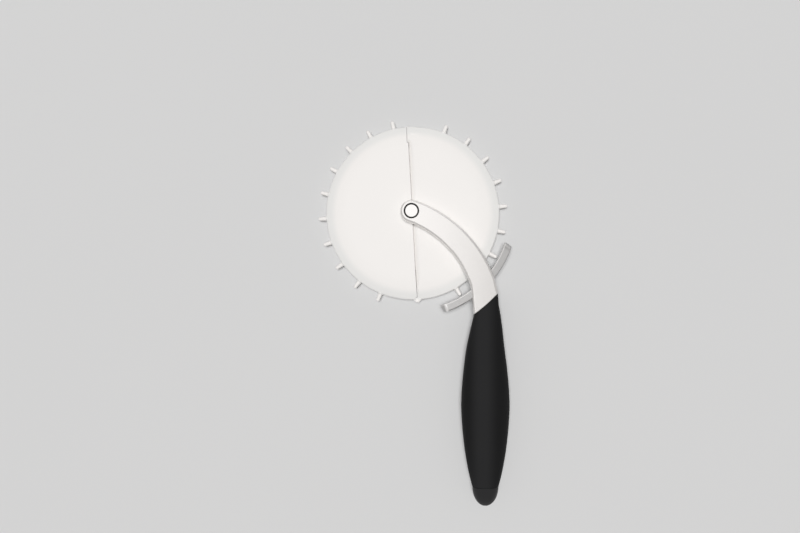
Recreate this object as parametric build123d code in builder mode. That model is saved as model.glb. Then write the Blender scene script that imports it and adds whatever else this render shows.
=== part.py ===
from build123d import *
import os
from math import asin, cos, degrees, pi, radians, sin, sqrt

# Pizza wheel with a hinged two-piece dough docker that covers its blade. Millimetres.
# The axle runs along Z through the origin. The tool lies on its back on the plane Z = 0, with its
# front towards +Z and its handle along -Y.

# Blade
blade_radius = 47.2
blade_thickness = 1.2
bevel_width = 3.0
cutting_edge = 0.2

# Docker: two half shells over the blade, with pins round the rim
blade_clearance = 1.3
docker_wall = 2.0
docker_thickness = 9.5
shoulder_width = 14.5
shoulder_drop = 3.15
rim_edge_radius = 1.2
seam_tilt = 3.1
seam_gap = 0.2
seam_bevel_width = 3.1
seam_bevel_depth = 1.4
seam_bevel_fade = 3.0
seam_edge_break = 0.4
lip_thickness = 1.0
lip_reach = 1.6
lip_clearance = 0.15
docker_clearance = 0.1
pin_length = 4.9
pin_radius = 1.2
pin_tip_radius = 1.05
pin_foot_radius = 1.9
pin_foot_height = 0.9
pin_foot_sink = 0.1
pin_root = 0.9
pin_pitch = 16.12
pins_each_side = 9
first_pin_angle = 24.9
pin_lead = 0.9
lip_set_back = 3.0

# Latch tab at the top of the seam and hinge at its foot
latch_width = 8.2
latch_length = 9.8
latch_overlap = 0.75
latch_proud = 0.5
latch_gap = 0.2
thumb_width = 5.5
thumb_length = 3.0
thumb_depth = 0.35
thumb_rim = 5.3
thumb_margin = 0.6
knuckle_radius = 1.35
knuckle_height = 1.8
knuckle_gap = 0.15
hinge_height = 4.6
hinge_set_out = 0.2
hinge_relief = 0.3
hinge_pin_radius = 0.6
hinge_rib_radius = 0.5
hinge_rib_sink = 0.2
hinge_rib_length = 3.0
hinge_rib_at = 45.2

# Axle, bush and hub
axle_radius = 2.5
axle_head_radius = 3.5
axle_head_height = 1.6
head_recess = 0.1
hub_radius = 4.5
cap_floor = 1.2
bush_wall = 0.8
bush_flange = 0.8
bush_ring = 0.85
ring_recess = 0.3
washer_thickness = 0.8
running_clearance = 0.05
axial_play = 0.05
fit = 0.02

# Arm
boss_radius = 6.4
arm_clearance = 0.6
arm_thickness = 7.0
neck_depth = 13.0
neck_length = 7.65
upper_boss_angle = 66.0
lower_boss_angle = -112.0
upper_bend_angle = -39.0
lower_bend_angle = -52.7
joint_tilt = 3.2
upper_joint_angle = -40.3
lower_joint_angle = -56.0
upper_bulge = 7.1
lower_bulge = 6.5
arm_edge_radius = 1.3
joint_edge_radius = 0.5
tang_width = 6.4
tang_thickness = 4.4
tang_length = 48.0

# Finger guard and its screws
guard_clearance = 0.8
guard_thickness = 4.5
guard_width = 11.0
guard_seat_depth = 3.4
guard_start_angle = -73.6
guard_end_angle = -17.6
guard_end_rake = 1.4
guard_end_radius = 3.6
guard_edge_radius = 0.6
screw_angles = (-43.6, -50.4)
screw_radius = 1.25
screw_head_radius = 2.3
screw_head_height = 1.2
screw_length = 8.5
socket_radius = 1.15
socket_depth = 0.9

# Handle
joint_gap = 0.1
handle_angle = -51.95
front_width = 13.2
front_depth = 13.4
front_corner = 3.0
front_taper = 0.15
belly_width = 27.95
belly_corner = 9.8
belly_at = 57.0
handle_length = 115.25
swell_power = 1.6
taper_power = 1.6
neck_lean = 1.1
lean_run = 29.0
tail_length = 11.2
grip_wall = 2.2
core_corner = 0.6
front_run = 14.0
tang_pin_radius = 1.5
tang_pin_length = 10.0
tang_pin_at = 30.0

# Radii about the axle and heights above the resting plane that follow from these sizes
docker_radius = blade_radius + blade_clearance + docker_wall
pin_reach = docker_radius + pin_length
hinge_at = docker_radius + hinge_set_out
guard_inner = pin_reach + guard_clearance
guard_outer = guard_inner + guard_thickness
joint_radius = guard_outer + neck_length
docker_mid = docker_thickness / 2
blade_front = docker_mid + blade_thickness / 2
blade_back = docker_mid - blade_thickness / 2
arm_back = docker_thickness + arm_clearance
arm_front = arm_back + arm_thickness
neck_back = arm_front - neck_depth
guard_top = arm_back + guard_seat_depth
guard_mid = guard_top - guard_width / 2
handle_mid = arm_front - neck_depth / 2
belly_depth = 2 * handle_mid
handle_x = joint_radius * cos(radians(handle_angle))
joint_y = joint_radius * sin(radians(handle_angle))
joint_centre_x = handle_x - joint_radius * cos(radians(handle_angle + joint_tilt))
joint_centre_y = joint_y - joint_radius * sin(radians(handle_angle + joint_tilt))
ring_radius = axle_head_radius + running_clearance + bush_ring
head_seat = arm_front - head_recess - axle_head_height
bush_seat = head_seat - axial_play - bush_flange
washer_back = arm_back - washer_thickness
hub_top = washer_back - axial_play
sleeve_radius = axle_radius + running_clearance + bush_wall
flat_radius = docker_radius - shoulder_width
shoulder_radius = (shoulder_width**2 + shoulder_drop**2) / (2 * shoulder_drop)
latch_foot = docker_radius - latch_length
latch_end = latch_width - latch_overlap
latch_lean = latch_proud * docker_radius / latch_width
latch_rise = latch_lean * latch_end / docker_radius
thumb_end = latch_end - thumb_margin
outer_knuckle = knuckle_height / 2 + knuckle_gap
grip_end = handle_length - tail_length

# Places of what repeats: pins clockwise from the seam's top, lips along the seam, handle sections
right_pins = [first_pin_angle - pin_lead + step * pin_pitch for step in range(pins_each_side)]
left_pins = [-first_pin_angle - pin_lead - step * pin_pitch for step in range(-1, pins_each_side)]
lip_spans = [
    (hub_radius + lip_set_back, latch_foot - lip_set_back),
    (lip_set_back - flat_radius, -hub_radius - lip_set_back),
]
section_steps = 4
swell_stations = [belly_at * step / section_steps for step in range(section_steps)]
taper_stations = [
    belly_at + (grip_end - belly_at) * step / section_steps for step in range(section_steps + 1)
]
tail_shares = (0.0, 0.35, 0.62, 0.82, 0.94, 0.99)

# The docker's own planes: its seam runs along their Y, and its right half is at +X
docker_plane = Plane.XY.offset(docker_mid).rotated((0, 0, seam_tilt))
seam_plane = Plane(docker_plane.origin, x_dir=docker_plane.y_dir, z_dir=docker_plane.x_dir)
section_plane = Plane(docker_plane.origin, x_dir=docker_plane.x_dir, z_dir=-docker_plane.y_dir)

# The handle's plane at the joint, whose normal runs down the handle
handle_plane = Plane((handle_x, joint_y, handle_mid), x_dir=(1, 0, 0), z_dir=(0, -1, 0))


def polar(radius, angle):
    """Point in the XY plane at a radius and an angle about the axle."""
    return (radius * cos(radians(angle)), radius * sin(radians(angle)))


def swell(along):
    """Share of the way from the handle's front section to its belly."""
    left = 1 - min(max(along, 0), belly_at) / belly_at
    return 1 - left**swell_power


def taper(along):
    """Near-elliptical narrowing from the belly to the tail."""
    past_belly = max(along - belly_at, 0) / (handle_length - belly_at)
    return sqrt(1 - past_belly**taper_power)


def lean(along):
    """Sideways set of the handle's sections beside its axis, which fades out along the neck."""
    reach = min(max(along, 0), lean_run)
    return neck_lean * (1 + cos(pi * reach / lean_run)) / 2


def handle_section(along, inset=0.0, shrink=1.0, past=0.0):
    """Rounded section of the handle, with its form at a distance from the joint, set past it."""
    size = shrink * taper(along)
    width = (front_width + (belly_width - front_width) * swell(along)) * size
    width -= front_taper * max(-along, 0)
    depth = (front_depth + (belly_depth - front_depth) * swell(along)) * size
    corner = (front_corner + (belly_corner - front_corner) * swell(along)) * size
    with BuildSketch(handle_plane.offset(along + past)) as section:
        with Locations((lean(along), 0)):
            RectangleRounded(
                width - 2 * inset, depth - 2 * inset, max(corner - inset, min(corner, core_corner))
            )
    return section.sketch


def handle_body(inset=0.0, mode=Mode.ADD):
    """Handle form from the joint to the end of the grip, cut to the arm's round joint face."""
    stations = [-front_run] + swell_stations + taper_stations
    loft([handle_section(station, inset) for station in stations], mode=mode)
    if mode == Mode.ADD:
        with Locations((joint_centre_x, joint_centre_y)):
            Cylinder(joint_radius + joint_gap, 4 * belly_depth, mode=Mode.SUBTRACT)


def on_joint(angle):
    """Point of the round joint between arm and handle, at an angle about the arc's own centre."""
    x, y = polar(joint_radius, angle)
    return (joint_centre_x + x, joint_centre_y + y)


def arm_outline():
    """Front outline of the arm: boss, curved arm and bolster, ended by the round joint."""
    with BuildSketch() as outline:
        with BuildLine():
            upper = SagittaArc(
                polar(boss_radius, upper_boss_angle), polar(guard_outer, upper_bend_angle), upper_bulge
            )
            upper_side = Line(upper @ 1, on_joint(upper_joint_angle))
            joint = ThreePointArc(upper_side @ 1, (handle_x, joint_y), on_joint(lower_joint_angle))
            lower_side = Line(joint @ 1, polar(guard_inner, lower_bend_angle))
            lower = SagittaArc(lower_side @ 1, polar(boss_radius, lower_boss_angle), -lower_bulge)
            Line(lower @ 1, upper @ 0)
        make_face()
        Circle(boss_radius)
    return outline.sketch


def guard_screw(angle, clearance, mode=Mode.ADD):
    """Countersunk screw that runs outwards through the guard into the bolster."""
    plane = Plane.XY.offset(guard_mid).rotated((0, 0, angle))
    head_side = screw_head_radius + clearance
    thread_side = screw_radius + clearance
    point = guard_inner + screw_length + clearance
    with BuildSketch(plane) as profile:
        Polygon(
            (guard_inner, 0),
            (guard_inner, head_side),
            (guard_inner + screw_head_height, thread_side),
            (point, thread_side),
            (point, 0),
            align=None,
        )
    revolve(profile.sketch, axis=Axis(plane.origin, plane.x_dir), mode=mode)


def docker_height(radius, inset=0.0):
    """Height above the docker's mid plane, at a radius, of its face or of a surface inside that."""
    past_flat = max(radius - flat_radius, 0)
    return docker_mid - shoulder_radius + sqrt((shoulder_radius - inset) ** 2 - past_flat**2)


def docker_section(inset=0.0):
    """Half section of the docker's form: flat face, broad shoulder and rounded rim."""
    rim_radius = docker_radius - inset
    with BuildSketch() as section:
        with BuildLine():
            face = Line((0, docker_mid - inset), (flat_radius, docker_mid - inset))
            shoulder = TangentArc(face @ 1, (rim_radius, docker_height(rim_radius, inset)), tangent=(1, 0))
            rim = Line(shoulder @ 1, (rim_radius, 0))
            Line(rim @ 1, (0, 0))
            Line((0, 0), face @ 0)
        make_face()
        if inset < rim_edge_radius:
            rim_corner = section.vertices().group_by(Axis.X)[-1].sort_by(Axis.Y)[-1]
            fillet(rim_corner, rim_edge_radius - inset)
        mirror(about=Plane.XZ)
    return section.sketch


def docker_shell(side):
    """Hollow round shell of the docker, cut at the seam so that one side is left."""
    with BuildSketch(section_plane) as wall:
        add(docker_section())
        add(docker_section(docker_wall), mode=Mode.SUBTRACT)
    revolve(wall.sketch, axis=Axis.Z)
    kept = Keep.TOP if side > 0 else Keep.BOTTOM
    split(bisect_by=seam_plane.offset(side * seam_gap / 2), keep=kept)
    Cylinder(hub_radius + docker_clearance, 2 * docker_thickness, mode=Mode.SUBTRACT)


def docker_pins(angles):
    """Round-ended pins on the rim, at angles clockwise from the top of the seam."""
    for angle in angles:
        plane = docker_plane.rotated((0, 0, -angle))
        with BuildSketch(plane) as profile:
            with BuildLine():
                foot = Line((0, docker_radius - pin_root), (pin_foot_radius, docker_radius - pin_root))
                side = Line(foot @ 1, (pin_foot_radius, docker_radius - pin_foot_sink))
                flare = TangentArc(
                    (pin_radius, docker_radius + pin_foot_height), side @ 1, tangent=(0, -1)
                )
                shank = Line(flare @ 0, (pin_tip_radius, pin_reach - pin_tip_radius))
                tip = CenterArc((0, pin_reach - pin_tip_radius), pin_tip_radius, 0, 90)
                Line(tip @ 1, foot @ 0)
            make_face()
        revolve(profile.sketch, axis=Axis(plane.origin, plane.y_dir))


def seam_edge(side, width, depth):
    """Rounded edge on both faces along one side of the seam, which fades out beside the latch."""
    edge = side * seam_gap / 2
    for face in (-1, 1):
        with BuildSketch(section_plane.offset(-latch_foot)) as waste:
            with BuildLine():
                top = Line((edge, face * docker_mid), (edge + side * width, face * docker_mid))
                round_off = TangentArc(top @ 1, (edge, face * (docker_mid - depth)), tangent=(-side, 0))
                Line(round_off @ 1, top @ 0)
            make_face()
        fade_end = docker_plane.from_local_coords((edge, latch_foot + seam_bevel_fade, face * docker_mid))
        extrude(waste.sketch, amount=latch_foot + docker_radius, mode=Mode.SUBTRACT)
        loft([waste.sketch.face(), Vertex(fade_end)], mode=Mode.SUBTRACT)


def seam_lip(start, end):
    """Lips inside both faces that reach across the seam into the other half."""
    edge = seam_gap / 2
    ceiling = docker_mid - docker_wall
    top = ceiling - lip_clearance
    with BuildSketch(section_plane.offset(-end)) as lips:
        for face in (-1, 1):
            Polygon(
                (edge - lip_reach, face * (top - lip_thickness)),
                (edge + lip_reach, face * (top - lip_thickness)),
                (edge + lip_reach, face * (ceiling + docker_wall / 4)),
                (edge, face * (ceiling + docker_wall / 4)),
                (edge, face * top),
                (edge - lip_reach, face * top),
                align=None,
            )
    extrude(lips.sketch, amount=end - start)


def hinge_barrel(radius, low, high, mode=Mode.ADD):
    """Length of the hinge's barrel between two heights about the docker's mid plane."""
    with Locations((0, -hinge_at, low)):
        Cylinder(radius, high - low, align=(Align.CENTER, Align.CENTER, Align.MIN), mode=mode)


def hinge_knuckle(side, low, high):
    """Knuckle with a flank at half a right angle down to the rim on its own half's side."""
    hinge_barrel(knuckle_radius, low, high)
    tangent = knuckle_radius * sqrt(0.5)
    flank_end = 2 * tangent + hinge_set_out
    with BuildSketch(docker_plane.offset(low)) as flank:
        Polygon(
            (0, -hinge_at),
            (side * tangent, -hinge_at - tangent),
            (side * flank_end, -docker_radius),
            (side * flank_end, pin_root - docker_radius),
            align=None,
        )
    extrude(flank.sketch, amount=high - low)


def hinge_ribs():
    """Round-ended ribs down both shoulders, along the right half's edge of the seam at the hinge."""
    slope = degrees(asin((hinge_rib_at - flat_radius) / shoulder_radius))
    half = hinge_rib_length / 2
    for face in (-1, 1):
        height = face * (docker_height(hinge_rib_at) - hinge_rib_sink)
        foot = (seam_gap / 2 + hinge_rib_radius, -hinge_rib_at, height)
        with Locations(Location(foot, (90 + face * slope, 0, 0))):
            Cylinder(hinge_rib_radius, hinge_rib_length)
            with Locations((0, 0, half), (0, 0, -half)):
                Sphere(hinge_rib_radius)


# Blade: double-bevelled disc
with BuildPart() as blade:
    with BuildSketch(Plane.XZ):
        with BuildLine():
            Polyline(
                (axle_radius + fit, blade_back),
                (blade_radius - bevel_width, blade_back),
                (blade_radius, docker_mid - cutting_edge / 2),
                (blade_radius, docker_mid + cutting_edge / 2),
                (blade_radius - bevel_width, blade_front),
                (axle_radius + fit, blade_front),
                close=True,
            )
        make_face()
    revolve(axis=Axis.Z)

# Axle pin: its head shows in the arm's boss, and its tail sits in the hub cap
with BuildPart() as axle_pin:
    with BuildSketch(Plane.XY.offset(cap_floor)):
        Circle(axle_radius)
    extrude(amount=head_seat - cap_floor)
    with BuildSketch(Plane.XY.offset(head_seat)):
        Circle(axle_head_radius)
    extrude(amount=axle_head_height)
    fillet(axle_pin.edges().group_by(Axis.Z)[-1], head_recess)

# Hub collar: spacer between the slip washer and the blade
with BuildPart() as hub_collar:
    with BuildSketch(Plane.XY.offset(blade_front)):
        Circle(hub_radius)
        Circle(axle_radius + fit, mode=Mode.SUBTRACT)
    extrude(amount=hub_top - blade_front)

# Hub cap: back collar, closed at the back, that holds the blade on the axle
with BuildPart() as hub_cap:
    with BuildSketch():
        Circle(hub_radius)
    extrude(amount=blade_back)
    with BuildSketch(Plane.XY.offset(cap_floor)):
        Circle(axle_radius + fit)
    extrude(amount=blade_back - cap_floor, mode=Mode.SUBTRACT)

# Slip washer between the arm's boss and the hub
with BuildPart() as thrust_washer:
    with BuildSketch(Plane.XY.offset(washer_back)):
        Circle(hub_radius - fit)
        Circle(axle_radius + running_clearance, mode=Mode.SUBTRACT)
    extrude(amount=washer_thickness)

# Axle bush: sleeve in the boss, with a flange and a rim that rings the axle's head
with BuildPart() as axle_bush:
    with BuildSketch(Plane.XY.offset(arm_back)):
        Circle(sleeve_radius)
    extrude(amount=bush_seat - arm_back)
    with BuildSketch(Plane.XY.offset(bush_seat)):
        Circle(ring_radius)
    extrude(amount=arm_front - ring_recess - bush_seat)
    with BuildSketch(Plane.XY.offset(bush_seat + bush_flange)):
        Circle(axle_head_radius + running_clearance)
    extrude(amount=arm_thickness, mode=Mode.SUBTRACT)
    with BuildSketch(Plane.XY.offset(arm_back)):
        Circle(axle_radius + running_clearance)
    extrude(amount=arm_thickness, mode=Mode.SUBTRACT)

# Arm: flat-faced casting on the wheel's front side, deepened into a bolster behind the guard
with BuildPart() as arm:
    with BuildSketch(Plane.XY.offset(arm_back)):
        add(arm_outline())
    extrude(amount=arm_thickness)
    with BuildSketch(Plane.XY.offset(neck_back)):
        add(arm_outline())
        Circle(guard_outer + fit, mode=Mode.SUBTRACT)
    extrude(amount=arm_back - neck_back)
    outline_edges = arm.edges().group_by(Axis.Z)[0] + arm.edges().group_by(Axis.Z)[-1]
    joint_face = arm.faces().sort_by_distance(handle_plane.origin)[0]
    fillet(outline_edges - joint_face.edges(), arm_edge_radius)
    joint_face = arm.faces().sort_by_distance(handle_plane.origin)[0]
    fillet(joint_face.edges(), joint_edge_radius)
    with BuildSketch(Plane.XY.offset(arm_back)):
        Circle(guard_outer + fit)
        Circle(guard_inner - fit, mode=Mode.SUBTRACT)
    extrude(amount=guard_seat_depth + fit, mode=Mode.SUBTRACT)
    with BuildSketch(Plane.XY.offset(bush_seat)):
        Circle(ring_radius + fit)
    extrude(amount=arm_thickness, mode=Mode.SUBTRACT)
    with BuildSketch(Plane.XY.offset(arm_back)):
        Circle(sleeve_radius + fit)
    extrude(amount=arm_thickness, mode=Mode.SUBTRACT)
    with BuildSketch(handle_plane.offset(-neck_length / 2)):
        Rectangle(tang_width, tang_thickness)
    extrude(amount=tang_length + neck_length / 2)
    with Locations((handle_x, joint_y - tang_pin_at, handle_mid)):
        Cylinder(tang_pin_radius + fit, neck_depth, mode=Mode.SUBTRACT)
    for screw_angle in screw_angles:
        guard_screw(screw_angle, fit, mode=Mode.SUBTRACT)

# Finger guard: bar curved about the axle, with raked round ends, let into the back of the arm
with BuildPart() as finger_guard:
    guard_sweep = guard_end_angle - guard_start_angle
    with BuildSketch(Plane.XY.offset(guard_top - guard_width)):
        with BuildLine():
            inner = CenterArc((0, 0), guard_inner, guard_start_angle, guard_sweep)
            outer = CenterArc(
                (0, 0), guard_outer, guard_start_angle + guard_end_rake, guard_sweep - 2 * guard_end_rake
            )
            Line(inner @ 0, outer @ 0)
            Line(inner @ 1, outer @ 1)
        make_face()
    extrude(amount=guard_width)
    end_edges = finger_guard.edges().filter_by(GeomType.LINE).filter_by(Axis.Z, reverse=True)
    fillet(end_edges, guard_end_radius)
    broad_faces = finger_guard.faces().filter_by(GeomType.CYLINDER).sort_by(SortBy.AREA)[-2:]
    fillet(broad_faces.edges(), guard_edge_radius)
    for screw_angle in screw_angles:
        guard_screw(screw_angle, fit, mode=Mode.SUBTRACT)

# Two countersunk screws with hexagon sockets that hold the guard on the bolster
with BuildPart() as guard_screws:
    for screw_angle in screw_angles:
        guard_screw(screw_angle, 0)
        outwards = (*polar(1, screw_angle), 0)
        with BuildSketch(Plane((*polar(guard_inner, screw_angle), guard_mid), z_dir=outwards)):
            RegularPolygon(socket_radius, 6)
        extrude(amount=socket_depth, mode=Mode.SUBTRACT)

# Handle core: hard core round the tang, with the rounded tail that shows below the grip
with BuildPart() as handle_core:
    handle_body(grip_wall)
    loft(
        [
            handle_section(grip_end, shrink=sqrt(1 - share**2), past=share * tail_length)
            for share in tail_shares
        ]
    )
    with BuildSketch(handle_plane):
        Rectangle(tang_width + 2 * fit, tang_thickness + 2 * fit)
    extrude(amount=tang_length + fit, both=True, mode=Mode.SUBTRACT)
    with Locations((handle_x, joint_y - tang_pin_at, handle_mid)):
        Cylinder(tang_pin_radius + fit, tang_pin_length + 2 * fit, mode=Mode.SUBTRACT)

# Grip: soft sleeve over the core
with BuildPart() as grip:
    handle_body()
    handle_body(grip_wall, mode=Mode.SUBTRACT)

# Cross pin through the core and the tang
with BuildPart() as tang_pin:
    with Locations((handle_x, joint_y - tang_pin_at, handle_mid)):
        Cylinder(tang_pin_radius, tang_pin_length)

# Latch tab, in the docker's own plane: stretch of the rim that reaches over the seam and stands out
# there, with a level thumbnail notch in both shoulders
with BuildPart() as latch_tab:
    latch_centre = (-latch_lean, latch_rise, 0)
    with BuildSketch(Plane(latch_centre, x_dir=(1, 0, 0), z_dir=(0, -1, 0))):
        add(docker_section())
    revolve(axis=Axis(latch_centre, (0, 0, 1)))
    with Locations((-latch_overlap, latch_foot, 0)):
        Box(
            latch_width, 2 * latch_length, docker_thickness,
            align=(Align.MIN, Align.MIN, Align.CENTER), mode=Mode.INTERSECT,
        )
    with Locations((-latch_overlap, docker_radius - docker_wall, 0)):
        Box(
            latch_width, latch_length, 2 * blade_thickness,
            align=(Align.MIN, Align.MAX, Align.CENTER), mode=Mode.SUBTRACT,
        )
    thumb_foot = docker_radius - thumb_rim
    thumb_floor = docker_height(thumb_foot) - thumb_depth
    with BuildSketch(Plane.YZ.offset(thumb_end)):
        for face in (-1, 1):
            Polygon(
                (thumb_foot, face * thumb_floor),
                (thumb_foot, face * docker_mid),
                (thumb_foot + thumb_length, face * docker_mid),
                (thumb_foot + thumb_length, face * thumb_floor),
                align=None,
            )
    extrude(amount=-thumb_width, mode=Mode.SUBTRACT)

# Right half of the docker: latch tab, alignment lips and the hinge's outer knuckles
with BuildPart(docker_plane) as docker_right:
    docker_shell(1)
    with Locations((0, docker_radius, 0)):
        Box(2 * latch_end, 2 * latch_length, docker_thickness, mode=Mode.SUBTRACT)
    add(latch_tab.part)
    seam_edge(1, seam_bevel_width, seam_bevel_depth)
    hinge_ribs()
    docker_pins(right_pins)
    for lip_start, lip_end in lip_spans:
        seam_lip(lip_start, lip_end)
    hinge_barrel(
        knuckle_radius + hinge_relief, -outer_knuckle, outer_knuckle, mode=Mode.SUBTRACT
    )
    hinge_knuckle(1, outer_knuckle, hinge_height / 2)
    hinge_knuckle(1, -hinge_height / 2, -outer_knuckle)
    hinge_barrel(hinge_pin_radius + fit, -docker_mid, docker_mid, mode=Mode.SUBTRACT)

# Left half of the docker: one more pin, a recess for the latch tab and the hinge's middle knuckle
with BuildPart(docker_plane) as docker_left:
    docker_shell(-1)
    seam_edge(-1, seam_edge_break, seam_edge_break)
    docker_pins(left_pins)
    with Locations((0, latch_foot - latch_gap, 0)):
        Box(
            2 * (latch_overlap + latch_gap), 2 * latch_length, 2 * docker_thickness,
            align=(Align.CENTER, Align.MIN, Align.CENTER), mode=Mode.SUBTRACT,
        )
    hinge_barrel(knuckle_radius + hinge_relief, knuckle_height / 2, docker_mid, mode=Mode.SUBTRACT)
    hinge_barrel(knuckle_radius + hinge_relief, -docker_mid, -knuckle_height / 2, mode=Mode.SUBTRACT)
    hinge_knuckle(-1, -knuckle_height / 2, knuckle_height / 2)
    hinge_barrel(hinge_pin_radius + running_clearance, -docker_mid, docker_mid, mode=Mode.SUBTRACT)

# Hinge pin of the docker
with BuildPart(docker_plane) as hinge_pin:
    hinge_barrel(hinge_pin_radius, -hinge_height / 2, hinge_height / 2)

pieces = {
    "blade": blade,
    "axle_pin": axle_pin,
    "hub_collar": hub_collar,
    "hub_cap": hub_cap,
    "thrust_washer": thrust_washer,
    "axle_bush": axle_bush,
    "arm": arm,
    "finger_guard": finger_guard,
    "guard_screws": guard_screws,
    "handle_core": handle_core,
    "grip": grip,
    "tang_pin": tang_pin,
    "docker_right": docker_right,
    "docker_left": docker_left,
    "hinge_pin": hinge_pin,
}

os.makedirs("parts", exist_ok=True)
for name, piece in pieces.items():
    piece.part.label = name
    export_step(piece.part, f"parts/{name}.step")
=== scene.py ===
from math import pi, radians

import bpy
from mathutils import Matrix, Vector


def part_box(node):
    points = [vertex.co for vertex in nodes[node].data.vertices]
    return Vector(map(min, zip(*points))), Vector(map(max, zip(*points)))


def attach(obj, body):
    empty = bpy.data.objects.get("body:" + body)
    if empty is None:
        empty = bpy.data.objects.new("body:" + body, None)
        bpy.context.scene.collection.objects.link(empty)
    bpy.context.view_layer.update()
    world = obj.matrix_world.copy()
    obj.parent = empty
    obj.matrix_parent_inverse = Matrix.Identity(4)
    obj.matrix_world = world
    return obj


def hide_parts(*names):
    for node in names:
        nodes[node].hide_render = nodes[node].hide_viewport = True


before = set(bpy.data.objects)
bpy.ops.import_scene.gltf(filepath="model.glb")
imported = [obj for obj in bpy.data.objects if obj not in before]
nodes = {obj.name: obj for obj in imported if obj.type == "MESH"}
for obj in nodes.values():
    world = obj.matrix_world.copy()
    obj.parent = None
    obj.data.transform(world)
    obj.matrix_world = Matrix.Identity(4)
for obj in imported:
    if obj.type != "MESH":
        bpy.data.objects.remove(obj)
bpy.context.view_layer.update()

# Lengths are in metres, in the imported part's own frame
MM = 0.001

# Handle grip: its sections at the joint with the arm and at the belly, and their places down the handle
JOINT_Y = -53.82 * MM
JOINT_CENTRE = (-2.94 * MM, -2.44 * MM)
JOINT_RADIUS = 68.45 * MM
FRONT_WIDTH = 13.2 * MM
FRONT_DEPTH = 13.4 * MM
FRONT_CORNER = 3.0 * MM
FRONT_TAPER = 0.15
BELLY_CORNER = 9.8 * MM
BELLY_AT = 57.0 * MM
HANDLE_LENGTH = 115.25 * MM
HANDLE_POWER = 1.6
NECK_LEAN = 1.1 * MM
LEAN_RUN = 29.0 * MM
GRIP_WALL = 2.2 * MM
CORNER_SOFTNESS = 0.3

# Mesh of the grip: rows down each side of its wall, points round a row, passes that fit its front to the
# arm, the distance at which points are merged, and its rounded edges
GRIP_ROWS = 110
GRIP_SIDES = 112
FRONT_PASSES = 3
MERGE_WITHIN = 0.001 * MM
GRIP_EDGE = 0.35 * MM
EDGE_SEGMENTS = 3
EDGE_ANGLE = radians(40)

# Painted sheen down the grip's broad faces: its middle, and how far it is even and reaches to each side
SHEEN_X = 40.3 * MM
SHEEN_EVEN = 1.5 * MM
SHEEN_HALF = 9.5 * MM

# Docker: radii where the painted shade on its rim starts, is at its fullest, ends and gives way to the
# pins, and the darker, cooler white painted there
RIM_START = 43.5 * MM
RIM_FULL = 48.0 * MM
RIM_EDGE = 50.3 * MM
PIN_FOOT = 50.9 * MM
RIM_SHADE_WHITE = (0.8, 0.795, 0.78)

# Blade and its ground edge: half the width of the change between them, how far the face's rings drift
# and how far the edge's strokes move on in one radian
BLADE_RADIUS = 47.2 * MM
BEVEL_WIDTH = 3.0 * MM
BEVEL_BLEND = 0.05 * MM
RING_DRIFT = 0.4 * MM
STROKE_TRAVEL = 40 * MM

# Finger guard: radius of its inner face, and the angle about the axle where its lower end bends down.
# Each carries a painted highlight up to a first distance, faded out by a second. The face's highlight is
# weaker.
GUARD_INNER = 56.2 * MM
INNER_HIGHLIGHT_REACH = (0.5 * MM, 0.9 * MM)
INNER_HIGHLIGHT_SHARE = 0.42
GUARD_BEND = radians(-70.3)
BEND_HIGHLIGHT_REACH = (0.005, 0.02)
BRUSH_STRETCH = 40

# Photograph's frame and camera: straight above the tool, with the picture's centre beside the lens axis
PHOTO_WIDTH = 800
PHOTO_HEIGHT = 533
LENS_AXIS = (461.0, 304.5)
CAMERA_AT = (28.1 * MM, -53.2 * MM, 391.0 * MM)
CLIP_START = 10 * MM
FOCAL_PIXELS = 660.0
SENSOR = 36.0

# Table top: half its side
FLOOR_HALF = 3.0

# Overhead light on matt surfaces: its strength, and how wide it looks
KEY_STRENGTH = 2.5
KEY_SPREAD = radians(21.0)

# Panels that only metal and gloss see: place, the point they face, width and height, brightness
PANELS = {
    "overhead_panel": ((-0.19, 0.2, 0.98), (-0.19, 0.2, 0), (0.55, 0.8), 0.69),
    "top_panel": ((0, 1.0, 0.42), (0.03, -0.03, 0), (1.8, 0.8), 0.44),
}

# World: its light on matt surfaces, and the pale backdrop that the camera, metal and gloss see
AMBIENT = 0.2
BACKDROP = 0.66
WORLD_TINT = (1, 0.985, 0.975, 1)
SHOWN_RAYS = ("Camera", "Glossy", "Transmission")


class Wire:
    """Output of a node. Arithmetic on it adds Math nodes to its tree."""

    def __init__(self, tree, socket):
        self.tree = tree
        self.socket = socket

    def math(self, operation, *terms):
        return self.tree.node("ShaderNodeMath", {"operation": operation}, dict(enumerate(terms)))

    def __add__(self, other):
        return self.math("ADD", self, other)

    def __sub__(self, other):
        return self.math("SUBTRACT", self, other)

    def __rsub__(self, other):
        return self.math("SUBTRACT", other, self)

    def __mul__(self, other):
        return self.math("MULTIPLY", self, other)

    def __truediv__(self, other):
        return self.math("DIVIDE", self, other)

    def __pow__(self, other):
        return self.math("POWER", self, other)

    def __abs__(self):
        return self.math("ABSOLUTE", self)

    __radd__ = __add__
    __rmul__ = __mul__

    def at_least(self, limit):
        return self.math("MAXIMUM", self, limit)

    def at_most(self, limit):
        return self.math("MINIMUM", self, limit)

    def cos(self):
        return self.math("COSINE", self)

    def sin(self):
        return self.math("SINE", self)


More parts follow.
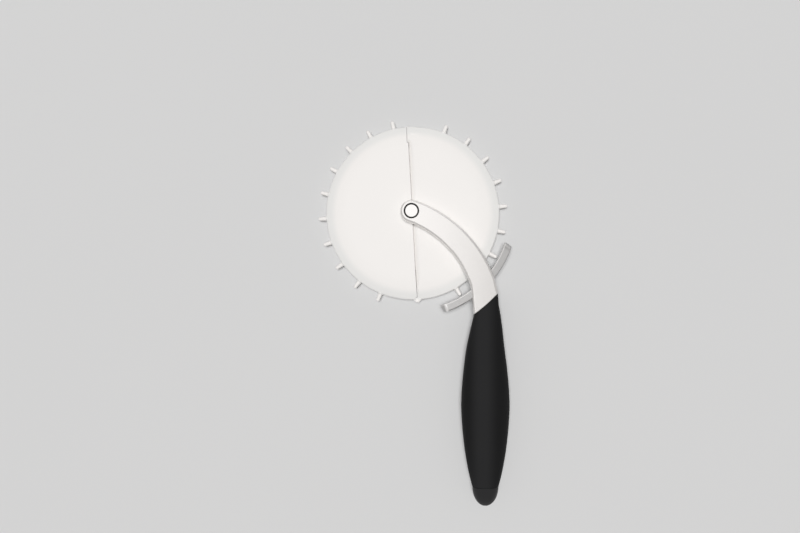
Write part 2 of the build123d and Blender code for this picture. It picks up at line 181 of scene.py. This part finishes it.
class Tree:
    """Node tree of a material, of a shape or of the world."""

    def __init__(self, tree):
        self.tree = tree

    def node(self, kind, settings=None, sockets=None, output=0):
        """Adds a node, sets it up, feeds its sockets and gives back one of its outputs."""
        made = self.tree.nodes.new(kind)
        for name, value in (settings or {}).items():
            setattr(made, name, value)
        for key, value in (sockets or {}).items():
            if isinstance(value, Wire):
                self.tree.links.new(value.socket, made.inputs[key])
            else:
                made.inputs[key].default_value = value
        return Wire(self, made.outputs[output]) if len(made.outputs) else None

    def place(self):
        """Object coordinates in metres."""
        return self.node("ShaderNodeTexCoord", output="Object")

    def vector(self, *parts):
        """Vector of up to three numbers."""
        return self.node("ShaderNodeCombineXYZ", {}, dict(enumerate(parts)))

    def split(self, vector):
        """The three parts of a vector as numbers."""
        parts = self.node("ShaderNodeSeparateXYZ", {}, {0: vector})
        return [Wire(self, socket) for socket in parts.socket.node.outputs]

    def axes(self):
        """The three object coordinates as numbers."""
        return self.split(self.place())

    def radius(self):
        """Distance from the axle."""
        x, y, _ = self.axes()
        return (x * x + y * y) ** 0.5

    def turn(self):
        """Angle about the axle."""
        x, y, _ = self.axes()
        return y.math("ARCTAN2", y, x)

    def noise(self, where, size, detail=2.0):
        """Soft noise about one half, with grains of a size in metres."""
        sockets = {"Vector": where, "Scale": 1 / size, "Detail": detail, "Roughness": 0.55}
        return self.node("ShaderNodeTexNoise", {}, sockets)

    def between(self, share, first, second):
        """Colour between two colours by a share."""
        # A Mix node has its sockets once for each kind of data: these are the colour ones
        sockets = {0: share, 6: (*first, 1), 7: (*second, 1)}
        return self.node("ShaderNodeMix", {"data_type": "RGBA"}, sockets, output=2)

    def step(self, value, start, end):
        """Smooth step from 0 to 1 between two values."""
        sockets = {"Value": value, "From Min": start, "From Max": end, "To Min": 0.0, "To Max": 1.0}
        return self.node("ShaderNodeMapRange", {"interpolation_type": "SMOOTHSTEP"}, sockets)

    def bump(self, height, depth):
        """Surface relief of a depth in metres."""
        return self.node("ShaderNodeBump", {}, {"Height": height, "Distance": depth, "Strength": 1.0})


def finish(name, colour, shader):
    """Material whose shader sockets come from a function of its tree."""
    made = bpy.data.materials.new(name)
    made.use_nodes = True
    made.diffuse_color = (*colour, 1)
    made.node_tree.nodes.clear()
    tree = Tree(made.node_tree)
    surface = tree.node("ShaderNodeBsdfPrincipled", {}, shader(tree, colour))
    tree.node("ShaderNodeOutputMaterial", {}, {"Surface": surface})
    return made


def shade(colour, factor):
    """Colour made darker or lighter by a factor."""
    return tuple(min(part * factor, 1.0) for part in colour)


def moulded_white(tree, colour):
    """Satin moulded plastic: faint flow clouds, a fine grain and painted shade, darker and cooler, on
    the rim below the pins.
    """
    radius = tree.radius()
    # Painted shade: the white turns darker and cooler towards the rim, then plain again under the pins
    rim_shade = tree.step(radius, RIM_START, RIM_FULL) - tree.step(radius, RIM_EDGE, PIN_FOOT)
    clouds = tree.noise(tree.place(), size=28 * MM)
    grain = tree.noise(tree.place(), size=0.28 * MM, detail=1.0)
    tone = 0.8 - 0.8 * rim_shade + 0.2 * clouds
    return {
        "Base Color": tree.between(tone, RIM_SHADE_WHITE, shade(colour, 1.012)),
        "Roughness": 0.38 + 0.1 * clouds + 0.06 * grain,
        "Normal": tree.bump(grain, depth=0.012 * MM),
        "Specular IOR Level": 0.42,
    }


def blasted_metal(tree, colour):
    """Satin-plated casting: fine blasted grain with faint wiped clouds."""
    clouds = tree.noise(tree.place(), size=16 * MM, detail=3.0)
    grain = tree.noise(tree.place(), size=0.2 * MM)
    return {
        "Base Color": tree.between(clouds, shade(colour, 0.975), shade(colour, 1.015)),
        "Metallic": 1.0,
        "Roughness": 0.2 + 0.06 * clouds + 0.06 * grain,
        "Normal": tree.bump(grain, depth=0.006 * MM),
    }


def brushed_guard(tree, colour):
    """Metal brushed round the axle, so that its lines follow the bar, with painted highlights on its
    inner edge and its lower bend.
    """
    x, _, z = tree.axes()
    radius = tree.radius()
    lines = tree.vector(radius * BRUSH_STRETCH, z * BRUSH_STRETCH, x)
    brushing = tree.noise(lines, size=6 * MM, detail=3.0)
    clouds = tree.noise(tree.place(), size=9 * MM)
    # Painted highlights: the inner edge and the lower end's bend are made much lighter in colour
    on_bend = 1 - tree.step(abs(tree.turn() - GUARD_BEND), *BEND_HIGHLIGHT_REACH)
    on_inner = 1 - tree.step(radius - GUARD_INNER, *INNER_HIGHLIGHT_REACH)
    painted_highlight = on_bend.at_least(INNER_HIGHLIGHT_SHARE * on_inner)
    tone = 0.13 * brushing + 0.87 * painted_highlight
    return {
        "Base Color": tree.between(tone, shade(colour, 0.93), shade(colour, 1.85)),
        "Metallic": 1.0,
        "Roughness": 0.2 + 0.12 * brushing + 0.08 * clouds,
        "Normal": tree.bump(brushing, depth=0.006 * MM),
    }


def turned_steel(tree, colour):
    """Lathe-turned steel with fine rings about the axle."""
    z = tree.axes()[2]
    rings = tree.noise(tree.vector(tree.radius(), z), size=0.14 * MM)
    clouds = tree.noise(tree.place(), size=4 * MM)
    return {
        "Base Color": tree.between(rings, shade(colour, 0.96), shade(colour, 1.03)),
        "Metallic": 1.0,
        "Roughness": 0.18 + 0.08 * rings + 0.06 * clouds,
        "Normal": tree.bump(rings, depth=0.005 * MM),
    }


def ground_blade(tree, colour):
    """Stainless disc with circular grinding lines and a brighter bevel, ground across the edge."""
    radius = tree.radius()
    turn = tree.turn()
    rings = tree.noise(tree.vector(radius, turn * RING_DRIFT), size=0.3 * MM)
    strokes = tree.noise(tree.vector(turn * STROKE_TRAVEL), size=0.3 * MM)
    past_face = radius - (BLADE_RADIUS - BEVEL_WIDTH)
    on_bevel = tree.step(past_face, -BEVEL_BLEND, BEVEL_BLEND)
    lines = rings + on_bevel * (strokes - rings)
    tone = 0.7 * lines + 0.3 * on_bevel
    return {
        "Base Color": tree.between(tone, shade(colour, 0.86), shade(colour, 1.1)),
        "Metallic": 1.0,
        "Roughness": 0.2 + 0.14 * lines - 0.06 * on_bevel,
        "Normal": tree.bump(lines, depth=0.004 * MM),
    }


def black_plastic(tree, colour):
    """Hard black moulding with a fine even grain and a slight sheen."""
    clouds = tree.noise(tree.place(), size=11 * MM)
    grain = tree.noise(tree.place(), size=0.22 * MM, detail=1.0)
    return {
        "Base Color": tree.between(clouds, shade(colour, 0.88), shade(colour, 1.12)),
        "Roughness": 0.34 + 0.08 * clouds + 0.08 * grain,
        "Normal": tree.bump(grain, depth=0.01 * MM),
        "Specular IOR Level": 0.3,
    }


def soft_touch(tree, colour):
    """Matt elastomer with a fine pebbled skin, and a painted sheen down its broad faces, where it is
    also a little smoother.
    """
    clouds = tree.noise(tree.place(), size=14 * MM, detail=3.0)
    pebble_size = 0.34 * MM
    skin = {"Vector": tree.place(), "Scale": 1 / pebble_size, "Smoothness": 0.6}
    pebbles = tree.node("ShaderNodeTexVoronoi", {"feature": "SMOOTH_F1"}, skin)
    x = tree.axes()[0]
    # Painted sheen: lighter along the middle of the broad faces, which are also slightly less rough
    # there
    painted_sheen = 1 - tree.step(abs(x - SHEEN_X), SHEEN_EVEN, SHEEN_HALF)
    tone = 0.15 * clouds + 0.85 * painted_sheen
    return {
        "Base Color": tree.between(tone, shade(colour, 0.6), shade(colour, 1.28)),
        "Roughness": 0.52 + 0.1 * clouds - 0.04 * painted_sheen,
        "Normal": tree.bump(pebbles, depth=0.03 * MM),
        "Specular IOR Level": 0.05,
    }


def pale_floor(tree, colour):
    """Plain pale table top."""
    clouds = tree.noise(tree.place(), size=350 * MM)
    return {
        "Base Color": tree.between(clouds, shade(colour, 0.985), shade(colour, 1.01)),
        "Roughness": 0.7,
        "Specular IOR Level": 0.2,
    }


DOCKER_WHITE = finish("docker_plastic", (0.885, 0.86, 0.838), moulded_white)
ARM_METAL = finish("arm_metal", (0.775, 0.757, 0.743), blasted_metal)
GUARD_STEEL = finish("guard_steel", (0.535, 0.53, 0.525), brushed_guard)
AXLE_STEEL = finish("axle_steel", (0.81, 0.79, 0.777), turned_steel)
BLADE_STEEL = finish("blade_steel", (0.62, 0.625, 0.63), ground_blade)
BUSH_NYLON = finish("bush_nylon", (0.012, 0.0115, 0.011), black_plastic)
CORE_PLASTIC = finish("core_plastic", (0.0125, 0.0125, 0.0132), black_plastic)
GRIP_RUBBER = finish("grip_rubber", (0.0176, 0.0176, 0.0182), soft_touch)
FLOOR = finish("table_top", (0.66, 0.66, 0.66), pale_floor)

NODE_FINISH = {
    "blade": BLADE_STEEL,
    "axle_pin": AXLE_STEEL,
    "hub_collar": AXLE_STEEL,
    "hub_cap": AXLE_STEEL,
    "thrust_washer": BUSH_NYLON,
    "axle_bush": BUSH_NYLON,
    "arm": ARM_METAL,
    "finger_guard": GUARD_STEEL,
    "guard_screws": AXLE_STEEL,
    "handle_core": CORE_PLASTIC,
    "tang_pin": AXLE_STEEL,
    "docker_right": DOCKER_WHITE,
    "docker_left": DOCKER_WHITE,
    "hinge_pin": AXLE_STEEL,
}
for node, material in NODE_FINISH.items():
    nodes[node].data.materials.clear()
    nodes[node].data.materials.append(material)


def shape_tree(name, sizes):
    """Geometry tree with a named length input for each size, and the wires of those inputs."""
    made = bpy.data.node_groups.new(name, "GeometryNodeTree")
    made.interface.new_socket("Geometry", in_out="OUTPUT", socket_type="NodeSocketGeometry")
    for size in sizes:
        made.interface.new_socket(size, in_out="INPUT", socket_type="NodeSocketFloat")
    tree = Tree(made)
    group_input = tree.node("NodeGroupInput").socket.node
    return tree, {size: Wire(tree, group_input.outputs[size]) for size in sizes}


def baked(name, tree, sizes, modifiers=()):
    """Plain mesh object made by a geometry tree and then by the modifiers after it."""
    maker = bpy.data.objects.new(name + "_maker", bpy.data.meshes.new(name + "_maker"))
    bpy.context.scene.collection.objects.link(maker)
    nodes_modifier = maker.modifiers.new("shape", "NODES")
    nodes_modifier.node_group = tree.tree
    for item in tree.tree.interface.items_tree:
        if item.in_out == "INPUT":
            nodes_modifier[item.identifier] = sizes[item.name]
    for kind, settings in modifiers:
        modifier = maker.modifiers.new(kind.lower(), kind)
        for key, value in settings.items():
            setattr(modifier, key, value)
    evaluated = maker.evaluated_get(bpy.context.evaluated_depsgraph_get())
    mesh = bpy.data.meshes.new_from_object(evaluated)
    mesh.name = name
    # The first slot is the grid's own, and empty
    mesh.materials.pop(index=0)
    bpy.data.objects.remove(maker)
    piece = bpy.data.objects.new(name, mesh)
    bpy.context.scene.collection.objects.link(piece)
    return piece


def squared(wave):
    """Sine or cosine drawn out towards a square wave, as in a section with flat sides."""
    return wave * (1 + CORNER_SOFTNESS**2) ** 0.5 / (wave * wave + CORNER_SOFTNESS**2) ** 0.5


def grip_sleeve():
    """Soft sleeve of the handle: an even wall whose section swells to the belly and tapers off."""
    low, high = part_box("grip")
    sizes = {
        "Axis X": (low.x + high.x) / 2,
        "Axis Z": (low.z + high.z) / 2,
        "Joint Y": JOINT_Y,
        "Joint centre X": JOINT_CENTRE[0],
        "Joint centre Y": JOINT_CENTRE[1],
        "Joint radius": JOINT_RADIUS,
        "Grip length": JOINT_Y - low.y,
        "Handle length": HANDLE_LENGTH,
        "Belly at": BELLY_AT,
        "Front width": FRONT_WIDTH,
        "Front depth": FRONT_DEPTH,
        "Front corner": FRONT_CORNER,
        "Belly width": high.x - low.x,
        "Belly depth": high.z - low.z,
        "Belly corner": BELLY_CORNER,
        "Neck lean": NECK_LEAN,
        "Lean run": LEAN_RUN,
        "Wall": GRIP_WALL,
    }
    tree, size = shape_tree("grip_shape", sizes)
    all_rows = 2 * GRIP_ROWS
    grid = {"Size X": 1.0, "Size Y": 1.0, "Vertices X": GRIP_SIDES + 1, "Vertices Y": all_rows + 1}
    sheet = tree.node("GeometryNodeMeshGrid", {}, grid, output="Mesh")
    across, along, _ = tree.split(tree.node("GeometryNodeInputPosition"))
    angle = across * (2 * pi)
    round_x = angle.cos()
    round_z = angle.sin()

    # Rows run down the outside, over the end, up the inside and back to the first
    row = (along + 0.5) * all_rows
    row = row.math("ROUND", row)
    row = row.math("MODULO", row, all_rows)
    turn_row = GRIP_ROWS - 0.5
    from_turn = row - turn_row
    share = (turn_row - abs(from_turn)) / (GRIP_ROWS - 1)
    inset = size["Wall"] * from_turn.math("GREATER_THAN", from_turn, 0.0)

    def section(down):
        """Place in the section at a distance down the handle."""
        left_to_belly = 1 - down.at_least(0.0).at_most(size["Belly at"]) / size["Belly at"]
        swell = 1 - left_to_belly**HANDLE_POWER
        past_belly = (down - size["Belly at"]).at_least(0.0) / (size["Handle length"] - size["Belly at"])
        taper = (1 - past_belly**HANDLE_POWER) ** 0.5

        def grown(what):
            front, belly = size["Front " + what], size["Belly " + what]
            return (front + (belly - front) * swell) * taper

        lean_angle = down.at_least(0.0).at_most(size["Lean run"]) / size["Lean run"] * pi
        lean = size["Neck lean"] * (1 + lean_angle.cos()) / 2
        corner = grown("corner") - inset / 2
        half_width = (grown("width") + down.at_most(0.0) * FRONT_TAPER) / 2 - inset
        half_depth = grown("depth") / 2 - inset
        x = size["Axis X"] + lean + (half_width - corner) * squared(round_x) + corner * round_x
        z = size["Axis Z"] + (half_depth - corner) * squared(round_z) + corner * round_z
        return x, z

    # The front follows the arm's round joint face: each pass sets a row's front from its own width
    down = share * size["Grip length"]
    for _ in range(FRONT_PASSES):
        x, z = section(down)
        aside = x - size["Joint centre X"]
        reach = (size["Joint radius"] ** 2 - aside * aside) ** 0.5
        front = reach + size["Joint Y"] - size["Joint centre Y"]
        down = share * size["Grip length"] + (1 - share) * front
    x, z = section(down)
    place = tree.vector(x, size["Joint Y"] - down, z)
    shaped = tree.node("GeometryNodeSetPosition", {}, {"Geometry": sheet, "Position": place})
    closed = tree.node("GeometryNodeMergeByDistance", {}, {"Geometry": shaped, "Distance": MERGE_WITHIN})
    smooth = tree.node("GeometryNodeSetShadeSmooth", {}, {"Geometry": closed})
    real = tree.node("GeometryNodeRealizeInstances", {}, {"Geometry": smooth})
    covered = tree.node("GeometryNodeSetMaterial", {}, {"Geometry": real, "Material": GRIP_RUBBER})
    tree.node("NodeGroupOutput", {}, {0: covered})
    bevel = {
        "width": GRIP_EDGE,
        "segments": EDGE_SEGMENTS,
        "limit_method": "ANGLE",
        "angle_limit": EDGE_ANGLE,
    }
    return baked("grip_sleeve", tree, sizes, [("BEVEL", bevel)])


grip = grip_sleeve()
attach(grip, "handle")
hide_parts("grip")

# Stage: table top, lamps, world and camera
floor_mesh = bpy.data.meshes.new("table_top")
floor_sides = ((-1, -1), (1, -1), (1, 1), (-1, 1))
floor_corners = [(x * FLOOR_HALF, y * FLOOR_HALF, 0) for x, y in floor_sides]
floor_mesh.from_pydata(floor_corners, [], [(0, 1, 2, 3)])
floor_mesh.materials.append(FLOOR)
floor = bpy.data.objects.new("table_top", floor_mesh)
bpy.context.scene.collection.objects.link(floor)


def softbox(name, at, aim, size, radiance):
    """Rectangular lamp of even brightness that faces a point."""
    lamp = bpy.data.lights.new(name, "AREA")
    lamp.shape = "RECTANGLE"
    lamp.size, lamp.size_y = size
    lamp.energy = pi * radiance * size[0] * size[1]
    made = bpy.data.objects.new(name, lamp)
    made.location = at
    made.rotation_euler = (Vector(aim) - Vector(at)).to_track_quat("-Z", "Y").to_euler()
    bpy.context.scene.collection.objects.link(made)
    return made


key = bpy.data.lights.new("key_lamp", "SUN")
key.energy = KEY_STRENGTH
key.angle = KEY_SPREAD
key_lamp = bpy.data.objects.new("key_lamp", key)
bpy.context.scene.collection.objects.link(key_lamp)
key_lamp.visible_glossy = False
for name, (at, aim, size, radiance) in PANELS.items():
    softbox(name, at, aim, size, radiance).visible_diffuse = False

world = bpy.data.worlds.new("studio")
world.use_nodes = True
world.node_tree.nodes.clear()
studio = Tree(world.node_tree)
rays = [studio.node("ShaderNodeLightPath", output=f"Is {ray} Ray") for ray in SHOWN_RAYS]
shown = sum(rays).at_most(1.0)
strength = AMBIENT + (BACKDROP - AMBIENT) * shown
sky = studio.node("ShaderNodeBackground", {}, {"Color": WORLD_TINT, "Strength": strength})
studio.node("ShaderNodeOutputWorld", {}, {"Surface": sky})
bpy.context.scene.world = world

camera = bpy.data.cameras.new("photo_camera")
camera.sensor_width = SENSOR
camera.lens = SENSOR * FOCAL_PIXELS / PHOTO_WIDTH
camera.shift_x = (PHOTO_WIDTH / 2 - LENS_AXIS[0]) / PHOTO_WIDTH
camera.shift_y = (LENS_AXIS[1] - PHOTO_HEIGHT / 2) / PHOTO_WIDTH
camera.clip_start = CLIP_START
camera_object = bpy.data.objects.new("photo_camera", camera)
camera_object.location = CAMERA_AT
bpy.context.scene.collection.objects.link(camera_object)
bpy.context.scene.camera = camera_object
bpy.context.scene.view_settings.view_transform = "Standard"
